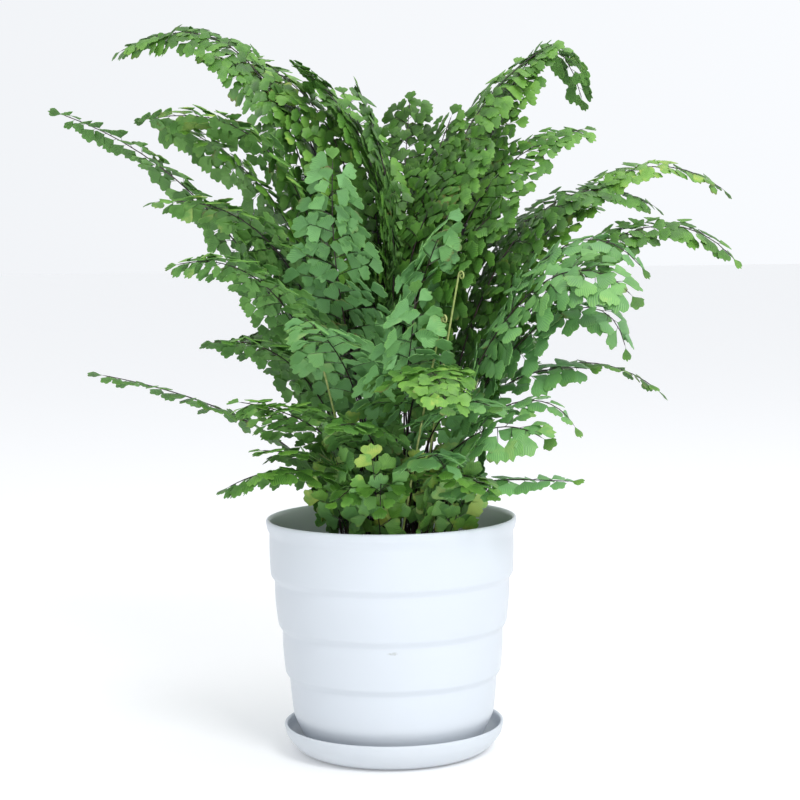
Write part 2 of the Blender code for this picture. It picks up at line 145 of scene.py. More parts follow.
# One row a frond. Tip x, y, z in millimetres; the angle of growth at the tip over the level,
# in degrees; how far the stem rises before it leans out and how much of it carries leaves, as
# shares of its length; the longest side stem in millimetres; the roll of the leafy part in
# degrees; and the sideways sway of the stem in millimetres.
FRONDS = (
    # left
    (-186, -20, 381, 20, 0.32, 0.62, 20, 30, 0),
    (-134, 30, 380, 20, 0.37, 0.60, 34, 30, 0),
    (-162, 60, 425, -24, 0.55, 0.45, 28, -20, 0),
    (-120, 80, 425, 10, 0.52, 0.45, 26, 10, 0),
    (-140, 8, 380, -10, 0.50, 0.50, 26, 25, 0),
    (-130, -45, 330, -5, 0.42, 0.50, 24, 25, 0),
    (-115, -80, 295, -10, 0.40, 0.55, 24, 25, 0),
    (-98, -55, 250, -5, 0.38, 0.55, 24, 20, -1),
    (-165, -30, 230, 12, 0.34, 0.62, 13, 10, 0),
    (-90, -75, 170, -20, 0.50, 0.62, 20, 10, 0),
    # top
    (-85, 65, 420, 20, 0.50, 0.50, 32, 0, 0),
    (-50, 30, 410, 35, 0.45, 0.50, 32, 25, 0),
    (-25, 55, 395, 45, 0.45, 0.50, 28, 0, 0),
    (-15, 10, 395, 65, 0.45, 0.50, 26, 25, 0),
    (15, 60, 390, 70, 0.50, 0.50, 30, 0, 0),
    (40, 40, 380, 60, 0.50, 0.50, 28, 0, 0),
    (55, 20, 360, 40, 0.45, 0.50, 34, 20, 0),
    # front
    (-30, -60, 350, 84, 0.50, 0.55, 38, 0, -10),
    (30, -135, 220, -35, 0.75, 0.62, 34, 0, 4),
    (-45, -110, 265, 20, 0.50, 0.50, 30, 0, 0),
    # right
    (135, -75, 275, -45, 0.46, 0.62, 38, 35, 0),
    (135, -50, 245, -75, 0.60, 0.50, 28, 20, 8),
    (115, -25, 230, -5, 0.45, 0.50, 24, 25, 6),
    (160, 5, 215, -40, 0.60, 0.50, 10, 0, 0),
    (105, -50, 200, -55, 0.52, 0.40, 16, 0, 0),
    (85, -75, 195, -25, 0.42, 0.55, 30, 35, 0),
    (100, -75, 170, 0, 0.42, 0.60, 20, 10, -8),
    (203, -8, 294, -48, 0.44, 0.60, 24, 25, 0),
    (205, 40, 335, -35, 0.45, 0.60, 22, 20, 0),
    (160, 20, 325, -30, 0.50, 0.55, 26, 20, 0),
    (145, -40, 290, -50, 0.46, 0.50, 22, 15, 0),
    (120, 45, 372, 10, 0.42, 0.50, 34, 20, 0),
    (102, 70, 425, 26, 0.42, 0.42, 22, 10, 0),
    (125, 95, 395, -70, 0.56, 0.50, 28, 0, 0),
    (82, 95, 415, 42, 0.42, 0.42, 22, 0, 0),
    # low in front
    (30, -90, 180, -25, 0.60, 0.55, 24, 0, 4),
    (55, -80, 165, -20, 0.60, 0.55, 20, 0, 8),
    (-6, -72, 158, -40, 0.90, 0.60, 20, 0, -2),
    (-72, -58, 188, 5, 0.38, 0.55, 24, 10, -1),
    (-27, -103, 206, 0, 0.60, 0.55, 24, 0, 1),
    (-82, -86, 218, 10, 0.46, 0.55, 28, 20, -3),
    (55, -95, 215, -10, 0.50, 0.50, 28, 0, 0),
    # inside the clump
    (-80, -10, 305, 10, 0.45, 0.50, 32, 30, 0),
    (-55, 10, 340, 30, 0.45, 0.50, 34, 30, 0),
    (35, -40, 320, 55, 0.50, 0.55, 34, 10, 0),
    (75, 0, 330, 35, 0.45, 0.55, 34, 20, 0),
    (-30, -65, 160, -25, 0.70, 0.60, 18, 0, 3),
    (15, -90, 275, 70, 0.50, 0.50, 32, 10, 0),
    # back
    (-120, 110, 330, 0, 0.50, 0.55, 34, 0, 0),
    (-65, 145, 350, 5, 0.50, 0.55, 36, 0, 0),
    (16, 165, 330, -10, 0.50, 0.55, 36, 0, 0),
    (75, 140, 350, 5, 0.50, 0.55, 36, 0, 4),
    (130, 105, 325, -5, 0.50, 0.55, 34, 0, 0),
    (-90, 125, 240, -25, 0.50, 0.50, 34, 0, 0),
    (-10, 150, 225, -25, 0.50, 0.50, 34, 0, 0),
    (90, 125, 235, -25, 0.50, 0.50, 34, 0, 0),
)


# ---------------------------------------------------------------- workbench


def clear_hands():
    """Leave edit mode and let go of everything."""
    if bpy.context.object and bpy.context.object.mode != "OBJECT":
        bpy.ops.object.mode_set(mode="OBJECT")
    bpy.ops.object.select_all(action="DESELECT")


def hold(*pieces):
    """Select these pieces alone, the first one active."""
    clear_hands()
    for piece in pieces:
        piece.select_set(True)
    bpy.context.view_layer.objects.active = pieces[0]


def pick(test):
    """In edit mode, select the points that pass a test of their place."""
    bpy.ops.mesh.select_mode(type="VERT")
    bm = bmesh.from_edit_mesh(bpy.context.object.data)
    for vert in bm.verts:
        vert.select_set(test(vert.co))
    bm.select_flush_mode()
    bmesh.update_edit_mesh(bpy.context.object.data)


def apply_all(piece):
    """Apply every modifier of a piece in turn."""
    hold(piece)
    for modifier in list(piece.modifiers):
        bpy.ops.object.modifier_apply(modifier=modifier.name)


def joined(name, pieces):
    """Join pieces into one and name it."""
    hold(*pieces)
    if len(pieces) > 1:
        bpy.ops.object.join()
    made = bpy.context.object
    made.name = made.data.name = name
    return made


def finished(piece, node):
    """Hand a piece over: it rides on the part and stands for its solid."""
    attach(piece, "root")
    if node:
        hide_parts(node)


def drawn_up(name, profile, sides=ROUND_SIDES):
    """A disc whose edge is drawn from ring to ring of a (radius, height) profile, then closed."""
    clear_hands()
    radius, height = profile[0]
    spot = (0, 0, height)
    bpy.ops.mesh.primitive_circle_add(vertices=sides, radius=radius, fill_type="NGON", location=spot)
    piece = bpy.context.object
    bpy.ops.object.transform_apply(location=True)
    bpy.ops.object.mode_set(mode="EDIT")
    bpy.ops.mesh.select_mode(type="EDGE")
    bpy.ops.mesh.select_all(action="SELECT")
    bpy.ops.mesh.region_to_loop()
    for next_radius, next_height in profile[1:]:
        bpy.ops.mesh.extrude_edges_move(TRANSFORM_OT_translate={"value": (0, 0, next_height - height)})
        ratio = next_radius / radius
        bpy.ops.transform.resize(value=(ratio, ratio, 1), center_override=(0, 0, 0))
        radius, height = next_radius, next_height
    bpy.ops.mesh.edge_face_add()
    bpy.ops.mesh.select_all(action="SELECT")
    bpy.ops.mesh.normals_make_consistent(inside=False)
    bpy.ops.object.mode_set(mode="OBJECT")
    piece.name = piece.data.name = name
    return piece


def curve_through(a, b, c, steps):
    """Points of the curve through a, b and c, each (radius, height), a left out."""
    made = []
    for index in range(1, steps + 1):
        t = index / steps
        wa, wb, wc = (1 - t) * (1 - 2 * t), 4 * t * (1 - t), t * (2 * t - 1)
        made.append((wa * a[0] + wb * b[0] + wc * c[0], wa * a[1] + wb * b[1] + wc * c[1]))
    return made


# ---------------------------------------------------------------- finishes


class Finish:
    """A material and short ways to add and join its nodes."""

    def __init__(self, name, colour, roughness):
        self.material = bpy.data.materials.new(name)
        self.material.use_nodes = True
        self.material.diffuse_color = (*colour, 1.0)
        self.nodes = self.material.node_tree.nodes
        self.links = self.material.node_tree.links
        self.shader = self.nodes["Principled BSDF"]
        self.shader.inputs["Base Color"].default_value = (*colour, 1.0)
        self.shader.inputs["Roughness"].default_value = roughness

    def add(self, kind, settings=None, **inputs):
        """A node with its settings; inputs go by name, or by number as i0, i1."""
        node = self.nodes.new("ShaderNode" + kind)
        for key, value in (settings or {}).items():
            setattr(node, key, value)
        for key, value in inputs.items():
            numbered = key[0] == "i" and key[1:].isdigit()
            socket = node.inputs[int(key[1:]) if numbered else key.replace("_", " ")]
            if hasattr(value, "is_output"):
                self.links.new(value, socket)
            else:
                socket.default_value = value
        return node

    def place(self):
        """Where a point is on the piece."""
        return self.add("TexCoord").outputs["Object"]

    def noise(self, scale, detail=3.0, rough=0.5):
        """A soft random pattern; a greater scale is finer."""
        node = self.add("TexNoise", Scale=scale, Detail=detail, Roughness=rough, Vector=self.place())
        return node.outputs["Fac"]

    def math(self, operation, a, b=0.0):
        """One sum on two values."""
        return self.add("Math", {"operation": operation}, i0=a, i1=b).outputs[0]

    def spread(self, value, low, high, to_low=0.0, to_high=1.0):
        """A value between low and high, spread over another reach."""
        ends = {"From_Min": low, "From_Max": high, "To_Min": to_low, "To_Max": to_high}
        node = self.add("MapRange", Value=value, **ends)
        return node.outputs["Result"]

    def ramp(self, value, *stops):
        """Colours along a value: (position, colour) pairs."""
        node = self.add("ValToRGB", i0=value)
        marks = node.color_ramp.elements
        while len(marks) < len(stops):
            marks.new(0.5)
        for mark, (position, colour) in zip(marks, stops):
            mark.position = position
            mark.color = (*colour, 1.0)
        return node.outputs["Color"]

    def mix(self, share, first, second):
        """The first colour, going over to the second by a share."""
        node = self.add("Mix", {"data_type": "RGBA"})
        sockets = (node.inputs[0], node.inputs[6], node.inputs[7])
        for socket, value in zip(sockets, (share, first, second)):
            if hasattr(value, "is_output"):
                self.links.new(value, socket)
            elif isinstance(value, tuple):
                socket.default_value = (*value, 1.0)
            else:
                socket.default_value = value
        return node.outputs[2]

    def colour(self, value):
        """Lead a colour into the finish."""
        self.links.new(value, self.shader.inputs["Base Color"])

    def roughness(self, value):
        """Lead a roughness into the finish."""
        self.links.new(value, self.shader.inputs["Roughness"])

    def bump(self, height, strength, distance):
        """Fine relief."""
        node = self.add("Bump", Height=height, Strength=strength, Distance=distance)
        self.links.new(node.outputs["Normal"], self.shader.inputs["Normal"])


def white_plastic(name, tint):
    """Moulded white plastic: faint cloudiness, fine grain, dust low down."""
    made = Finish(name, tint, 0.34)
    cloud = made.noise(9.0, 4.0)
    low = tuple(c * 0.955 for c in tint)
    shade = made.ramp(made.spread(cloud, 0.3, 0.7), (0.0, low), (1.0, tint))
    height = made.add("SeparateXYZ", Vector=made.place()).outputs["Z"]
    dust = made.math("MULTIPLY", made.spread(height, 0.03, 0.0), made.noise(60.0, 5.0))
    made.colour(made.mix(made.math("MULTIPLY", dust, 0.35), shade, (0.70, 0.70, 0.68)))
    made.roughness(made.spread(made.noise(25.0, 3.0), 0.3, 0.7, 0.28, 0.42))
    made.bump(made.noise(420.0, 2.0), 0.05, 0.0002)
    return made


def pot_plastic():
    """The pot's plastic, with one small rubbed mark on the front."""
    made = white_plastic("pot_plastic", PLASTIC)
    place = made.add("Mapping", Vector=made.place(), Location=(0.0, 0.0, -MARK_HEIGHT / MARK_TALL))
    place.inputs["Scale"].default_value = (1 / MARK_WIDE, 1 / FOOT_RADIUS, 1 / MARK_TALL)
    x, y, z = made.add("SeparateXYZ", Vector=place.outputs["Vector"]).outputs
    flat = made.add("CombineXYZ", X=x, Y=made.math("ADD", made.math("LESS_THAN", y, 0.0), -1.0), Z=z)
    reach = made.add("VectorMath", {"operation": "LENGTH"}, i0=flat.outputs["Vector"]).outputs["Value"]
    grain = made.spread(made.noise(900.0, 2.0), 0.4, 0.6)
    rubbed = made.math("MULTIPLY", made.spread(reach, 1.0, 0.4), grain)
    shade = made.shader.inputs["Base Color"].links[0].from_socket
    made.colour(made.mix(rubbed, shade, (0.42, 0.45, 0.44)))
    return made


def potting_soil():
    """Dark, damp peat with lighter fibres."""
    made = Finish("potting_soil", (0.05, 0.032, 0.02), 0.95)
    grain = made.noise(180.0, 8.0, rough=0.7)
    peat = ((0.3, (0.012, 0.008, 0.006)), (0.55, (0.05, 0.032, 0.02)), (0.75, (0.13, 0.085, 0.05)))
    made.colour(made.ramp(grain, *peat))
    made.roughness(made.spread(grain, 0.3, 0.7, 1.0, 0.75))
    made.bump(grain, 0.9, 0.002)
    return made.material


def bark_crumbs():
    """Bits of bark and fibre on the soil."""
    made = Finish("bark_crumbs", (0.10, 0.06, 0.035), 0.9)
    grain = made.noise(240.0, 5.0)
    patch = made.noise(45.0, 2.0)
    barks = ((0.35, (0.03, 0.018, 0.011)), (0.6, (0.14, 0.085, 0.045)), (0.75, (0.30, 0.22, 0.14)))
    brown = made.ramp(patch, *barks)
    made.colour(made.mix(made.spread(grain, 0.35, 0.65, 0.0, 0.5), brown, (0.05, 0.03, 0.02)))
    made.bump(grain, 0.8, 0.001)
    return made.material


def stem_finish():
    """Wiry stems: glossy purple-black, browner in places."""
    made = Finish("stem_dark", (0.016, 0.010, 0.014), 0.30)
    streak = made.noise(90.0, 3.0)
    made.colour(made.ramp(streak, (0.35, (0.008, 0.005, 0.009)), (0.7, (0.045, 0.020, 0.022))))
    made.roughness(made.spread(streak, 0.3, 0.7, 0.24, 0.42))
    made.bump(made.noise(600.0, 2.0), 0.2, 0.0002)
    return made.material


def leaf_finish(name, greens, bloomed_and_lit, roughness):
    """Leaf skin: each leaf its own tone, veins that fan out from the stalk, a pale or browned edge.

    greens: dark, middle, light and yellow; the bloom colour: the pale blue-green of a leaf with bloom,
    partly the leaves' own colour and partly painted light on the fronds at the lit front.
    """
    dark, middle, light, yellow = greens
    made = Finish(name, middle, roughness)
    # tone holds each leaf's own tone, plus painted shade and painted light laid on whole fronds and on the
    # shoots
    tone = made.add("Attribute", {"attribute_name": "tone"}).outputs["Fac"]
    bloom_and_light = made.add("Attribute", {"attribute_name": "bloom_and_light"}).outputs["Fac"]
    fan = made.add("SeparateXYZ", Vector=made.add("UVMap", {"uv_map": "fan"}).outputs["UV"])
    round_the_fan, from_stalk = fan.outputs["X"], fan.outputs["Y"]
    mottle = made.spread(made.noise(130.0, 4.0), 0.3, 0.7, -0.16, 0.16)
    shade = made.math("ADD", tone, mottle)
    body = made.ramp(shade, (0.0, dark), (0.45, middle), (0.82, light), (1.0, yellow))
    # pale blue-green bloom: partly the leaves' own colour, partly painted light on the fronds at the lit
    # front
    body = made.mix(made.math("MULTIPLY", bloom_and_light, made.spread(tone, 0.0, 1.0, 0.6, 1.0)), body, bloomed_and_lit)
    outwards = made.math("MULTIPLY", from_stalk, 0.04)
    line = made.add("CombineXYZ", X=round_the_fan, Y=outwards).outputs["Vector"]
    bands = {"wave_type": "BANDS", "bands_direction": "X"}
    veins = made.add("TexWave", bands, Scale=9.0, Distortion=0.8, Detail=2.0, Vector=line).outputs["Fac"]
    body = made.mix(made.spread(veins, 0.5, 1.0, 0.0, 0.36), body, light)
    body = made.mix(made.spread(veins, 0.35, 0.0, 0.0, 0.32), body, dark)
    body = made.mix(made.spread(from_stalk, 0.72, 1.02, 0.0, 0.30), body, light)
    patch = made.spread(made.noise(38.0, 2.0), 0.60, 0.68)
    browned = made.math("MULTIPLY", patch, made.spread(from_stalk, 0.80, 0.98, 0.0, 0.8))
    made.colour(made.mix(browned, body, (0.16, 0.10, 0.035)))
    made.roughness(made.spread(made.noise(70.0, 3.0), 0.3, 0.7, roughness - 0.06, roughness + 0.10))
    made.bump(veins, 0.35, 0.0003)
    return made.material


# ---------------------------------------------------------------- saucer, pot and soil


def saucer():
    """A shallow dish: flat underside with a shallow recess, rounded side, thin rounded rim."""
    rim, foot = SAUCER_RIM_RADIUS, SAUCER_FOOT_RADIUS
    profile = [(foot - 6.0 * MM, 0.5 * MM), (foot - 5.4 * MM, 0.1 * MM)]
    profile += [(foot - 5.0 * MM, 0.0), (foot, 0.0)]
    profile += curve_through((foot, 0.0), (foot + 7.0 * MM, 3.6 * MM), (rim - 1.2 * MM, 11.2 * MM), 9)
    profile += [(rim - 0.5 * MM, 14.4 * MM), (rim - 0.05 * MM, SAUCER_HEIGHT - 0.9 * MM)]
    profile += [(rim - 0.25 * MM, SAUCER_HEIGHT - 0.3 * MM), (rim - 0.8 * MM, SAUCER_HEIGHT)]
    profile += [(rim - 1.5 * MM, SAUCER_HEIGHT - 0.15 * MM), (rim - 1.95 * MM, SAUCER_HEIGHT - 0.7 * MM)]
    inner = (rim - 3.0 * MM, 11.8 * MM)
    profile += [(rim - 2.4 * MM, 14.4 * MM), inner]
    bend, low = (foot + 6.3 * MM, 6.0 * MM), (foot + 1.2 * MM, SAUCER_FLOOR + 0.2 * MM)
    profile += curve_through(inner, bend, low, 8)
    profile += [(foot, SAUCER_FLOOR), (20 * MM, SAUCER_FLOOR)]
    piece = drawn_up("saucer_dish", profile)
    hold(piece)
    bpy.ops.object.shade_smooth_by_angle(angle=math.radians(40))
    piece.data.materials.append(white_plastic("saucer_plastic", PLASTIC).material)
    finished(piece, "saucer")


def pot():
    """Four swelling bands with soft steps between them, a small flared lip, a foot ring."""
    foot, rim = FOOT_RADIUS, RIM_RADIUS
    profile = [(foot - 4.2 * MM, POT_BOTTOM + 1.2 * MM), (foot - 3.6 * MM, POT_BOTTOM + 0.9 * MM)]
    profile += [(foot - 3.2 * MM, POT_BOTTOM + 0.2 * MM), (foot - 2.7 * MM, POT_BOTTOM)]
    profile += [(foot - 0.7 * MM, POT_BOTTOM), (foot - 0.1 * MM, POT_BOTTOM + 0.3 * MM)]
    profile += [(foot + 0.4 * MM, POT_BOTTOM + 1.0 * MM)]
    lowest = BANDS[-1][3]
    rise = BANDS_END - POT_BOTTOM
    profile += [(foot + (lowest - foot) * share, POT_BOTTOM + rise * share) for share in (0.3, 0.6, 0.88)]
    start = (lowest + 0.05 * MM, BANDS_END + SOFT_STEP / 3)
    profile.append(start)
    for index in range(len(BANDS) - 1, -1, -1):
        top, upper, middle = BANDS[index][:3]
        head = (upper - COVE, top - SOFT_STEP)
        profile += curve_through(start, (middle + SWELL, (top + start[1]) / 2), head, 9)
        if index:
            start = (BANDS[index - 1][3], top + STEP_HEIGHT + SOFT_STEP / 3)
            for part in (0.12, 0.25, 0.4, 0.55, 0.7, 0.85, 1.0):
                ease = part * part * (3 - 2 * part)
                radius = head[0] + (start[0] - head[0]) * ease
                profile.append((radius, head[1] + (start[1] - head[1]) * part))
    profile += [(rim - 0.75 * MM, 135.2 * MM), (rim - 0.35 * MM, 137.0 * MM), (rim - 0.05 * MM, 138.6 * MM)]
    profile += [(rim, 139.8 * MM), (rim - 0.3 * MM, 140.6 * MM), (rim - 1.0 * MM, RIM_TOP)]
    profile += [(rim - 1.8 * MM, 140.7 * MM), (rim - 2.3 * MM, 140.0 * MM), (rim - 2.7 * MM, 138.6 * MM)]
    inner = BANDS[0][3] - POT_WALL - 0.7 * MM
    profile += [(rim - 3.1 * MM, 132.0 * MM), (inner, BANDS[1][0])]
    profile += [(BANDS[-1][3] - POT_WALL - 0.7 * MM, BANDS_END), (foot - 1.5 * MM, FLOOR_TOP + 1.2 * MM)]
    profile += [(foot - 2.7 * MM, FLOOR_TOP), (20 * MM, FLOOR_TOP)]
    piece = drawn_up("pot_shell", profile)
    for index in range(DRAIN_HOLES):
        turn = math.tau * index / DRAIN_HOLES
        place = (DRAIN_CIRCLE * math.cos(turn), DRAIN_CIRCLE * math.sin(turn), FLOOR_TOP)
        clear_hands()
        bpy.ops.mesh.primitive_cylinder_add(vertices=32, radius=DRAIN_RADIUS, depth=20 * MM, location=place)
        drill = bpy.context.object
        hole = piece.modifiers.new("drain", "BOOLEAN")
        hole.object = drill
        apply_all(piece)
        bpy.data.objects.remove(drill)
    hold(piece)
    bpy.ops.object.shade_smooth_by_angle(angle=math.radians(50))
    piece.data.materials.clear()
    piece.data.materials.append(pot_plastic().material)
    finished(piece, "pot")


def soil():
    """A lumpy bed of peat, lower at the wall."""
    wall_top = SOIL_TOP - SOIL_EDGE_DROP
    edge = SOIL_RADIUS
    profile = [(40 * MM, FLOOR_TOP + 0.6 * MM), (FOOT_RADIUS - 3.6 * MM, FLOOR_TOP + 0.6 * MM)]
    profile += [(BANDS[-1][3] - POT_WALL - 1.2 * MM, BANDS_END), (edge - 0.9 * MM, BANDS[1][0])]
    profile.append((edge, wall_top))
    for reach in range(2, 70, 2):
        profile.append((edge - reach * MM, wall_top + min(reach * MM / SOIL_SLOPE, 1.0) * SOIL_EDGE_DROP))
    piece = drawn_up("soil_bed", profile, 120)
    lumps = bpy.data.textures.new("soil_lumps", "CLOUDS")
    lumps.noise_scale = 0.007
    lumps.noise_depth = 3
    top = piece.vertex_groups.new(name="top")
    for vert in piece.data.vertices:
        if vert.co.z > wall_top - 0.2 * MM and vert.co.xy.length < edge - 1 * MM:
            top.add([vert.index], 1.0, "REPLACE")
    heave = piece.modifiers.new("lumps", "DISPLACE")
    heave.texture = lumps
    heave.texture_coords = "LOCAL"
    heave.direction = "Z"
    heave.strength = 5.0 * MM
    heave.mid_level = 0.55
    heave.vertex_group = "top"
    apply_all(piece)
    bpy.ops.object.shade_smooth_by_angle(angle=math.radians(70))
    piece.data.materials.append(potting_soil())
    finished(piece, "soil")


def crumbs():
    """Loose bits of bark lying on the soil."""
    luck = random.Random(7)
    clear_hands()
    bpy.ops.mesh.primitive_ico_sphere_add(subdivisions=1, radius=1.0)
    pattern = bpy.context.object
    bpy.ops.object.mode_set(mode="EDIT")
    bpy.ops.mesh.select_all(action="SELECT")
    bpy.ops.transform.vertex_random(offset=0.35, seed=3)
    bpy.ops.object.mode_set(mode="OBJECT")
    pieces = []
    for _ in range(CRUMBS):
        reach = CRUMB_REACH * math.sqrt(luck.random())
        turn = luck.uniform(0, math.tau)
        long, wide, thick = luck.uniform(0.6, 2.8), luck.uniform(0.5, 1.3), luck.uniform(0.3, 0.8)
        size = Matrix.Diagonal((long * MM, wide * MM, thick * MM, 1))
        fall = max(0.0, 1 - (SOIL_RADIUS - reach) / SOIL_SLOPE)
        height = SOIL_TOP + 0.3 * MM - SOIL_EDGE_DROP * fall
        place = Matrix.Translation((reach * math.cos(turn), reach * math.sin(turn), height))
        spin = Matrix.Rotation(luck.uniform(0, math.tau), 4, "Z")
        spin = spin @ Matrix.Rotation(luck.uniform(-0.5, 0.5), 4, "X")
        mesh = pattern.data.copy()
        mesh.transform(place @ spin @ size)
        crumb = bpy.data.objects.new("crumb", mesh)
        bpy.context.scene.collection.objects.link(crumb)
        pieces.append(crumb)
    bpy.data.objects.remove(pattern)
    piece = joined("bark_crumbs", pieces)
    piece.data.materials.append(bark_crumbs())
    finished(piece, None)


# ---------------------------------------------------------------- the fronds' lines


def crown_places():
    """Where each stem stands: out from the middle the way its frond leans, then given room."""
    places = []
    for row in FRONDS:
        lean = Vector(row[:2]) * MM
        share = min(lean.length / CROWN_REACH, 1.0)
        places.append(lean.normalized() * (CROWN_INNER + (CROWN_OUTER - CROWN_INNER) * share))
    for _ in range(ROOT_PUSHES):
        for i, place in enumerate(places):
            for j in range(i):
                apart = place - places[j]
                if apart.length < ROOT_ROOM:
                    push = apart.normalized() * (ROOT_ROOM - apart.length) / 2
                    place += push
                    places[j] -= push
    return [Vector((*place, SOIL_TOP)) for place in places]


class Spine:
    """The middle line of one frond, read by the distance along it from the soil."""

    SAMPLES = 80

    def __init__(self, row, root):
        x, y, z, nod, rise, leafy, wide, roll, sway = row
        self.root = root
        tip = Vector((x, y, z)) * MM
        span = tip - root
        out = Vector((span.x, span.y, 0.0)).normalized()
        self.side = UP.cross(out)
        growth = out * math.cos(math.radians(nod)) + UP * math.sin(math.radians(nod))
        bow = self.side * sway * MM
        self.ends = (
            root,
            root + UP * rise * span.length + bow,
            tip - growth * TIP_HOLD * span.length + bow,
            tip,
        )
        self.steps = [0.0]
        for index in range(1, self.SAMPLES):
            step = self.curve(index / (self.SAMPLES - 1)) - self.curve((index - 1) / (self.SAMPLES - 1))
            self.steps.append(self.steps[-1] + step.length)
        self.length = self.steps[-1]
        self.leaf_start = self.length * (1.0 - leafy)
        self.wide = wide * MM
        self.roll = math.radians(roll)

    def curve(self, t):
        """The place at a parameter from 0 to 1."""
        a, b, c, d = self.ends
        return (1 - t) ** 3 * a + 3 * (1 - t) ** 2 * t * b + 3 * (1 - t) * t**2 * c + t**3 * d

    def share(self, distance):
        """The curve's parameter at a distance."""
        for index in range(1, self.SAMPLES):
            if distance <= self.steps[index] or index == self.SAMPLES - 1:
                step = self.steps[index] - self.steps[index - 1]
                part = (distance - self.steps[index - 1]) / step
                return (index - 1 + min(part, 1.0)) / (self.SAMPLES - 1)

    def frame(self, distance):
        """Place, growth direction, side direction and upper side at a distance."""
        if distance <= 0.0:
            place, along = self.root + UP * distance, UP
        else:
            t = self.share(distance)
            a, b, c, d = self.ends
            slope = (1 - t) ** 2 * (b - a) + 2 * (1 - t) * t * (c - b) + t**2 * (d - c)
            place, along = self.curve(t), slope.normalized()
        side = (self.side - along * self.side.dot(along)).normalized()
        upper = along.cross(side)
        roll = self.roll * min(max(distance, 0.0) / self.length * 2, 1.0)
        turned_side = side * math.cos(roll) + upper * math.sin(roll)
        turned_upper = upper * math.cos(roll) - side * math.sin(roll)
        return place, along, turned_side, turned_upper


def taper(share):
    """Length of the side stems along the leafy part, against the longest."""
    if share < 0.2:
        return 0.72 + 1.4 * share
    return 1.0 - 0.76 * ((share - 0.2) / 0.8) ** 1.25


# ---------------------------------------------------------------- leaves


def fan_leaf(name, notches, lean, finishes, seed):
    """One leaf, a unit long, its stalk at the origin: a wedge with a lobed outer edge."""
    luck = random.Random(seed)
    clear_hands()
    spot = (0, 0.5, 0)
    bpy.ops.mesh.primitive_circle_add(vertices=LEAF_EDGE, radius=0.5, fill_type="NGON", location=spot)
    leaf = bpy.context.object
    bpy.ops.object.transform_apply(location=True)
    bpy.ops.object.mode_set(mode="EDIT")
    rings = [0.5 + 0.5 * math.cos(math.tau * step / LEAF_EDGE) for step in range(LEAF_EDGE // 2 + 1)]
    for height, width in zip(rings, LEAF_WIDTHS):
        pick(lambda co: abs(co.y - height) < 0.01)
        bpy.ops.transform.resize(value=(width, 1, 1), center_override=(0, 0, 0))
    rim = [v.co.copy() for v in bmesh.from_edit_mesh(leaf.data).verts if v.co.y > 0.3]
    rim.sort(key=lambda co: math.atan2(co.x, co.y))
    deep = [rim[len(rim) // 2 + notch] for notch in notches]
    pick(lambda co: any((co - place).length < 1e-5 for place in deep))
    bpy.ops.transform.resize(value=(NOTCH, NOTCH, 1), center_override=(0, 0.05, 0))
    bpy.ops.mesh.select_all(action="SELECT")
    bpy.ops.mesh.poke()
    pick(lambda co: Vector((co.x, co.y - 0.5)).length < 0.15)
    bpy.ops.transform.translate(value=(0, 0, 0.06))
    pick(lambda co: co.y > 0.7)
    bpy.ops.transform.translate(value=(0, 0, -0.05))
    bpy.ops.object.mode_set(mode="OBJECT")
    for vert in leaf.data.vertices:
        vert.co.x += lean * vert.co.y + luck.uniform(-0.012, 0.012)
        vert.co.y += luck.uniform(-0.015, 0.015)
    for layer in list(leaf.data.uv_layers):
        leaf.data.uv_layers.remove(layer)
    fan = leaf.data.uv_layers.new(name="fan")
    for loop in leaf.data.loops:
        co = leaf.data.vertices[loop.vertex_index].co
        fan.data[loop.index].uv = (0.5 + math.atan2(co.x, co.y + 0.12) / math.pi, co.xy.length)
    for finish in finishes:
        leaf.data.materials.append(finish)
    skin = leaf.modifiers.new("thickness", "SOLIDIFY")
    skin.thickness = LEAF_THICKNESS
    skin.offset = 0.0
    skin.material_offset = 1
    skin.material_offset_rim = 0
    apply_all(leaf)
    bpy.ops.object.shade_smooth_by_angle(angle=math.radians(35))
    leaf.name = leaf.data.name = name
    return leaf


def paint(mesh, tone, bloom_and_light=0.0):
    """Write one tone and one bloom on every point of a mesh."""
    for name, value in (("tone", tone), ("bloom_and_light", bloom_and_light)):
        layer = mesh.attributes.get(name) or mesh.attributes.new(name, "FLOAT", "POINT")
        layer.data.foreach_set("value", [value] * len(mesh.vertices))


def shift(mesh, name, step):
    """Add a step to a painted value."""
    layer = mesh.attributes[name].data
    values = np.empty(len(layer), np.float32)
    layer.foreach_get("value", values)
    layer.foreach_set("value", values + step)


def copy_of(pattern, matrix, tone=None):
    """A copy of a piece with its own mesh, put in its place, with a leaf's own tone."""
    mesh = pattern.data.copy()
    mesh.transform(matrix)
    if tone is not None:
        paint(mesh, tone)
    made = bpy.data.objects.new(pattern.name, mesh)
    bpy.context.scene.collection.objects.link(made)
    return made


def side_stalk(length, finish):
    """The wiry side stem, drawn out from a small square."""
    clear_hands()
    bpy.ops.mesh.primitive_circle_add(vertices=4, radius=STALK_RADIUS, fill_type="NGON")
    stalk = bpy.context.object
    bpy.ops.object.mode_set(mode="EDIT")
    bpy.ops.mesh.select_all(action="SELECT")
    for _ in range(3):
        bpy.ops.mesh.extrude_region_move(TRANSFORM_OT_translate={"value": (0, 0, length / 3)})
        bpy.ops.transform.resize(value=(0.8, 0.8, 1))
    bpy.ops.mesh.select_all(action="SELECT")
    bpy.ops.mesh.normals_make_consistent(inside=False)
    bpy.ops.object.mode_set(mode="OBJECT")
    stalk.data.transform(Matrix.Rotation(-math.pi / 2, 4, "X"))
    stalk.data.materials.append(finish)
    paint(stalk.data, 0.5)
    return stalk


def sprig_length(count):
    """Length of a side stem with this many leaves."""
    return LEAF_FIRST + LEAF_STEP * (count - 1) + LEAF_LENGTH * 0.92


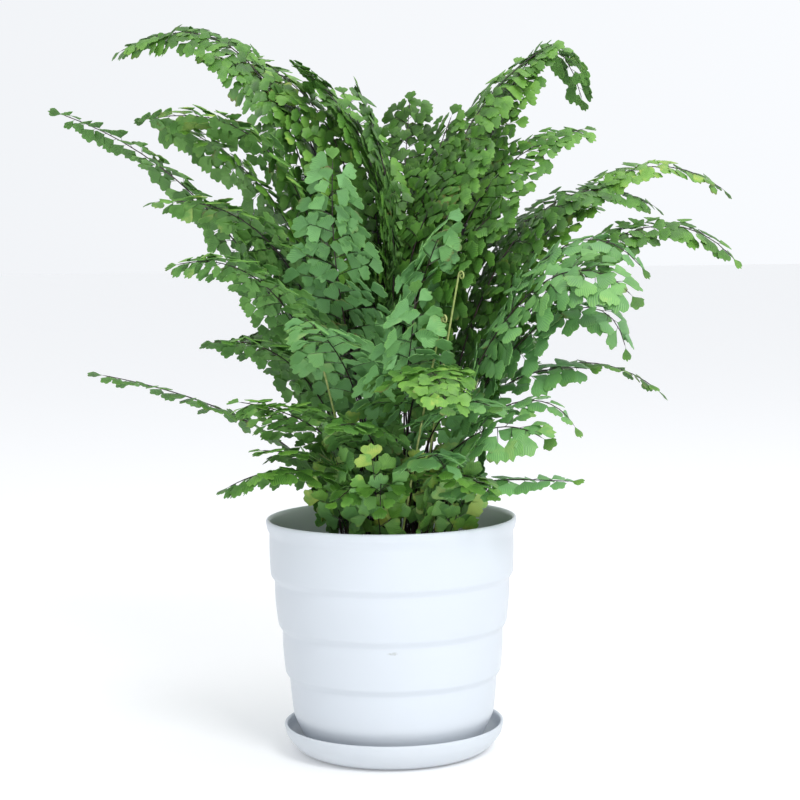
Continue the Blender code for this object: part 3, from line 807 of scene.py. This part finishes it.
def sprig(count, leaves, stem, seed):
    """A side stem along +Y with its leaves by turns left and right, and one at the end."""
    luck = random.Random(seed)
    pieces = [side_stalk(LEAF_FIRST + LEAF_STEP * (count - 1), stem)]
    first = luck.choice((-1, 1))
    for index in range(count):
        end = index == count - 1
        side = 0 if end else first * (-1) ** index
        size = LEAF_LENGTH * luck.uniform(0.88, 1.1) * (1.0 if end else 1.0 - 0.05 * index)
        angle = side * math.radians(luck.uniform(34, 58)) if side else math.radians(luck.uniform(-8, 8))
        pattern = leaves[0] if end else (leaves[1] if side > 0 else leaves[2])
        pattern = luck.choice(pattern)
        turn = Matrix.Rotation(-angle, 4, "Z")
        tip = Matrix.Rotation(math.radians(luck.uniform(-16, 10)), 4, "X")
        tip = tip @ Matrix.Rotation(math.radians(luck.uniform(-16, 16)), 4, "Y")
        along = LEAF_FIRST + LEAF_STEP * index
        place = Matrix.Translation((side * 0.4 * MM, along, 0.15 * MM * (index % 3)))
        tone = luck.random() * 0.5 + 0.2 + (0.45 if luck.random() < YELLOW_LEAVES else 0.0)
        pieces.append(copy_of(pattern, place @ turn @ tip @ Matrix.Scale(size, 4), tone))
    return joined(f"sprig_{count}", pieces)


def wire(name, places, radii, finish):
    """A round wire with closed ends through places, each with its own radius."""
    curve = bpy.data.curves.new(name, "CURVE")
    curve.dimensions = "3D"
    curve.bevel_depth = 1.0
    curve.bevel_resolution = 1
    curve.use_fill_caps = True
    line = curve.splines.new("POLY")
    line.points.add(len(places) - 1)
    for point, place, radius in zip(line.points, places, radii):
        point.co = (*place, 1.0)
        point.radius = radius
    curve.materials.append(finish)
    made = bpy.data.objects.new(name, curve)
    bpy.context.scene.collection.objects.link(made)
    return made


def stem_curve(index, spine, finish):
    """The stem of a frond, thinner towards its tip."""
    distances = [-STEM_IN_SOIL + 0.5 * MM, 0.0]
    distances += [spine.length * step / STEM_STOPS for step in range(1, STEM_STOPS + 1)]
    places = [spine.frame(distance)[0] for distance in distances]
    shares = [max(distance, 0.0) / spine.length for distance in distances]
    radii = [STEM_FOOT + (STEM_TIP - STEM_FOOT) * share**0.8 for share in shares]
    return wire(f"stem_{index}", places, radii, finish)


def solid_wires(wires):
    """Turn wires into closed meshes."""
    hold(*wires)
    bpy.ops.object.convert(target="MESH")
    bpy.ops.object.mode_set(mode="EDIT")
    bpy.ops.mesh.select_all(action="SELECT")
    bpy.ops.mesh.remove_doubles(threshold=0.01 * MM)
    bpy.ops.mesh.normals_make_consistent(inside=False)
    bpy.ops.object.mode_set(mode="OBJECT")
    bpy.ops.object.shade_smooth()


def croziers():
    """Pale new fronds, still curled at the tip, among the old stems."""
    made = Finish("young_stem", (0.36, 0.44, 0.14), 0.45)
    fuzz = made.noise(300.0, 3.0)
    made.colour(made.ramp(fuzz, (0.35, (0.26, 0.36, 0.09)), (0.65, (0.48, 0.52, 0.20))))
    made.bump(fuzz, 0.3, 0.0003)
    wires = []
    for index, (foot, head) in enumerate(CROZIERS):
        foot, head = Vector(foot) * MM, Vector(head) * MM
        lean = Vector((head.x - foot.x, head.y - foot.y, 0.0)).normalized()
        places = []
        for step in range(15):
            share = step / 14
            places.append(foot.lerp(head, share) + lean * 6 * MM * (share**2 - share))
        for step in range(1, CURL_STEPS + 1):
            turn = step * math.radians(CURL_TURN)
            curl = CURL * (1 - 0.045 * step)
            places.append(head + lean * (CURL - curl * math.cos(turn)) + UP * curl * math.sin(turn))
        radii = [CROZIER_RADIUS - 0.012 * MM * step for step in range(len(places))]
        wires.append(wire(f"crozier_{index}", places, radii, made.material))
    solid_wires(wires)
    finished(joined("croziers", wires), None)


def hang(mesh, place, way, length, sag):
    """Let a side stem droop, more towards its tip."""
    points = np.empty(len(mesh.vertices) * 3, np.float32)
    mesh.vertices.foreach_get("co", points)
    points = points.reshape(-1, 3)
    reach = np.clip((points - np.array(place)) @ np.array(way), 0.0, None)
    points[:, 2] -= sag * reach * reach / length
    mesh.vertices.foreach_set("co", points.ravel())


def dress(index, spine, stem, sprigs):
    """Put the side stems on a frond and join them to its stem."""
    luck = random.Random(100 + index)
    bloomed_and_lit = index + 1 in BLOOMED_AND_LIT_FRONDS
    # each frond's own tone, lowered as painted shade on the fronds inside and behind the clump
    frond_tone_and_shade = luck.uniform(-0.16, 0.14) - (0.32 if index + 1 in PAINTED_SHADE_FRONDS else 0.0)
    # the pale bloom of each frond: partly its own colour, partly painted light on the fronds at the lit
    # front
    frond_bloom_and_light = luck.uniform(0.6, 0.95) if bloomed_and_lit else luck.uniform(0.0, 0.15)
    leaf_size = luck.uniform(0.92, 1.02) if bloomed_and_lit else luck.uniform(0.72, 0.84)
    room = 1.15 if bloomed_and_lit else 1.0
    fuller = 0.2 if index + 1 in FULL_TIPS else 0.06
    sag = DEEP_SAG if index + 1 in DROOPING else SAG
    start = spine.leaf_start - (LOWER_LEAVES * spine.length if spine.ends[3].z > HIGH_FROND else 0.0)
    paint(stem.data, 0.5)
    pieces = [stem]
    leafy = spine.length - spine.leaf_start
    distance = start
    edge = luck.choice((-1, 1))
    while distance < spine.length - 3 * MM:
        share = max((distance - spine.leaf_start) / leafy, 0.0)
        length = spine.wide * (taper(share) + fuller * share) + 1.5 * MM
        count = min(sprigs, key=lambda number: abs(sprig_length(number) * leaf_size - length))
        place, along, side, upper = spine.frame(distance)
        open_by = SIDE_ANGLE + (SIDE_ANGLE_END - SIDE_ANGLE) * share
        spread = math.radians(open_by + luck.uniform(-7, 7))
        way = along * math.cos(spread) + side * edge * math.sin(spread)
        way = Matrix.Rotation(math.radians(luck.uniform(-12, 12)), 3, way.cross(upper)) @ way
        normal = (upper - way * upper.dot(way)).normalized()
        normal = Matrix.Rotation(math.radians(luck.uniform(-16, 16)), 3, way) @ normal
        basis = Matrix((way.cross(normal), way, normal)).transposed().to_4x4()
        scale = min(max(length / sprig_length(count), 0.62), 1.25)
        pattern = luck.choice(sprigs[count])
        made = copy_of(pattern, Matrix.Translation(place) @ basis @ Matrix.Scale(scale, 4))
        hang(made.data, place, way, length, sag)
        shift(made.data, "tone", frond_tone_and_shade + 0.18 * share - 0.06)
        shift(made.data, "bloom_and_light", frond_bloom_and_light * luck.uniform(0.7, 1.1))
        pieces.append(made)
        distance += (SIDE_STEP + (SIDE_STEP_END - SIDE_STEP) * share) * leaf_size * room / 2
        edge = -edge
    place, along, side, upper = spine.frame(spine.length)
    basis = Matrix((along.cross(upper), along, upper)).transposed().to_4x4()
    last = luck.choice(sprigs[1])
    pieces.append(copy_of(last, Matrix.Translation(place) @ basis @ Matrix.Scale(0.7, 4)))
    return joined(f"leafy_frond_{index + 1:02d}", pieces)


def shoots(sprigs, stem):
    """Young growth low in the crown: short leaning stalks with a few small side stems."""
    luck = random.Random(21)
    pieces = []
    for index in range(SHOOTS):
        turn = math.tau * index / SHOOTS + luck.uniform(-0.2, 0.2)
        reach = luck.uniform(*SHOOT_RING) * MM
        place = Vector((reach * math.cos(turn), reach * math.sin(turn), SOIL_TOP - 3 * MM))
        lean = luck.uniform(0.15, 0.55)
        height = luck.uniform(*SHOOT_HEIGHTS) * MM
        way = (Vector((math.cos(turn), math.sin(turn), 0)) * lean + UP).normalized()
        stray = Vector([luck.uniform(-0.6, 0.6) for _ in range(3)])
        face = Vector((math.cos(turn), math.sin(turn), -lean)) + stray
        normal = (face - way * face.dot(way)).normalized()
        across = way.cross(normal)
        basis = Matrix((across, way, normal)).transposed().to_4x4()
        stalk = side_stalk(height, stem)
        stalk.data.transform(Matrix.Translation(place) @ basis @ Matrix.Diagonal((1.4, 1, 1.4, 1)))
        pieces.append(stalk)
        steps = 2 + int(height / (11 * MM))
        for step in range(steps + 1):
            share = 0.35 + 0.64 * step / steps
            side = 0 if step == steps else (-1) ** step
            if place.z + height * share < RIM_TOP - 12 * MM:
                continue
            pattern = luck.choice(sprigs[luck.choice((2, 3)) if side else 2])
            angle = math.radians(side * luck.uniform(45, 75))
            turned = Matrix.Rotation(-angle, 4, "Z") @ Matrix.Rotation(luck.uniform(-0.3, 0.3), 4, "Y")
            spot = Matrix.Translation(place + way * height * share)
            pieces.append(copy_of(pattern, spot @ basis @ turned @ Matrix.Scale(luck.uniform(0.8, 1.0), 4)))
            # painted light: the shoots' leaves are made lighter and paler to stand for light where the
            # fronds above shade them
            shift(pieces[-1].data, "tone", luck.uniform(0.05, 0.35))
            shift(pieces[-1].data, "bloom_and_light", luck.uniform(0.0, 0.5))
    piece = joined("young_shoots", pieces)
    finished(piece, None)


def fern():
    """Every frond on its own line."""
    stem = stem_finish()
    fresh = ((0.010, 0.050, 0.003), (0.052, 0.180, 0.011), (0.19, 0.42, 0.055), (0.50, 0.60, 0.10))
    matt = ((0.018, 0.074, 0.009), (0.068, 0.205, 0.026), (0.19, 0.42, 0.09), (0.46, 0.57, 0.15))
    # the third colour of each skin is the pale bloom, partly the leaves' own colour and partly painted
    # light
    upper = leaf_finish("leaf_upper", fresh, (0.24, 0.54, 0.24), 0.42)
    under = leaf_finish("leaf_under", matt, (0.25, 0.56, 0.25), 0.55)
    skins = (upper, under)
    end = [fan_leaf("leaf_end_a", (-1, 1), 0.0, skins, 1)]
    end.append(fan_leaf("leaf_end_b", (-3, 0, 3), 0.0, skins, 2))
    right = [fan_leaf("leaf_right_a", (-1, 2), 0.14, skins, 3)]
    right.append(fan_leaf("leaf_right_b", (-2, 0, 3), 0.08, skins, 4))
    left = [fan_leaf("leaf_left_a", (-2, 1), -0.14, skins, 5)]
    left.append(fan_leaf("leaf_left_b", (-3, 0, 2), -0.08, skins, 6))
    leaves = (end, right, left)
    sprigs = {}
    for count in range(1, MOST_LEAVES + 1):
        sprigs[count] = [sprig(count, leaves, stem, 10 * count + turn) for turn in range(4)]
    spines = [Spine(row, root) for row, root in zip(FRONDS, crown_places())]
    stems = [stem_curve(index, spine, stem) for index, spine in enumerate(spines)]
    solid_wires(stems)
    for index, spine in enumerate(spines):
        piece = dress(index, spine, stems[index], sprigs)
        finished(piece, f"frond_{index + 1:02d}")
    shoots(sprigs, stem)
    for group in (end, right, left, *sprigs.values()):
        for pattern in group:
            bpy.data.objects.remove(pattern)


# ---------------------------------------------------------------- studio


def studio():
    """A pale floor, soft lights and the camera."""
    clear_hands()
    bpy.ops.mesh.primitive_plane_add(size=FLOOR_SIZE, location=(0, 0, FLOOR_HEIGHT))
    floor = bpy.context.object
    floor.name = "floor"
    made = Finish("floor_paint", (0.95, 0.95, 0.95), 0.9)
    made.shader.inputs["Emission Color"].default_value = AIR_COLOUR
    made.shader.inputs["Emission Strength"].default_value = FLOOR_GLOW
    floor.data.materials.append(made.material)
    scene = bpy.context.scene
    world = bpy.data.worlds.new("studio_air")
    world.use_nodes = True
    air = world.node_tree
    air.nodes["Background"].inputs["Color"].default_value = AIR_COLOUR
    way = air.nodes.new("ShaderNodeTexCoord")
    slant = air.nodes.new("ShaderNodeVectorMath")
    slant.operation = "DOT_PRODUCT"
    slant.inputs[1].default_value = AIR_SLANT
    air.links.new(way.outputs["Generated"], slant.inputs[0])
    level = air.nodes.new("ShaderNodeMath")
    level.inputs[1].default_value = AIR_LEVEL
    air.links.new(slant.outputs["Value"], level.inputs[0])
    air.links.new(level.outputs[0], air.nodes["Background"].inputs["Strength"])
    scene.world = world
    for name, place, size, power in LIGHTS:
        light = bpy.data.lights.new(name, "AREA")
        light.size = size
        light.energy = power
        lamp = bpy.data.objects.new(name, light)
        scene.collection.objects.link(lamp)
        lamp.location = place
        aim = Vector(LIGHTS_AIM) - Vector(place)
        lamp.rotation_euler = aim.to_track_quat("-Z", "Y").to_euler()
    lens = bpy.data.cameras.new("camera")
    lens.lens = LENS
    camera = bpy.data.objects.new("camera", lens)
    scene.collection.objects.link(camera)
    camera.location = CAMERA_PLACE
    look = Matrix.Rotation(math.radians(CAMERA_TURN), 4, "Z")
    look = look @ Matrix.Rotation(math.pi / 2 + math.radians(CAMERA_PITCH), 4, "X")
    look = look @ Matrix.Rotation(math.radians(CAMERA_ROLL), 4, "Z")
    camera.matrix_world = Matrix.Translation(camera.location) @ look
    scene.camera = camera
    scene.view_settings.view_transform = "Standard"


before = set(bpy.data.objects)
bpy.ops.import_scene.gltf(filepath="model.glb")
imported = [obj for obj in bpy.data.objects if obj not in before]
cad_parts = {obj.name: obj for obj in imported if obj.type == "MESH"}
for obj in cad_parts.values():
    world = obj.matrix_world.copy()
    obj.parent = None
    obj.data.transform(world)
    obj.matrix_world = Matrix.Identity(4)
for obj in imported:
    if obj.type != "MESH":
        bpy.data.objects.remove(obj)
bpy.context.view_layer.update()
saucer()
pot()
soil()
crumbs()
fern()
croziers()
studio()
bpy.context.view_layer.update()
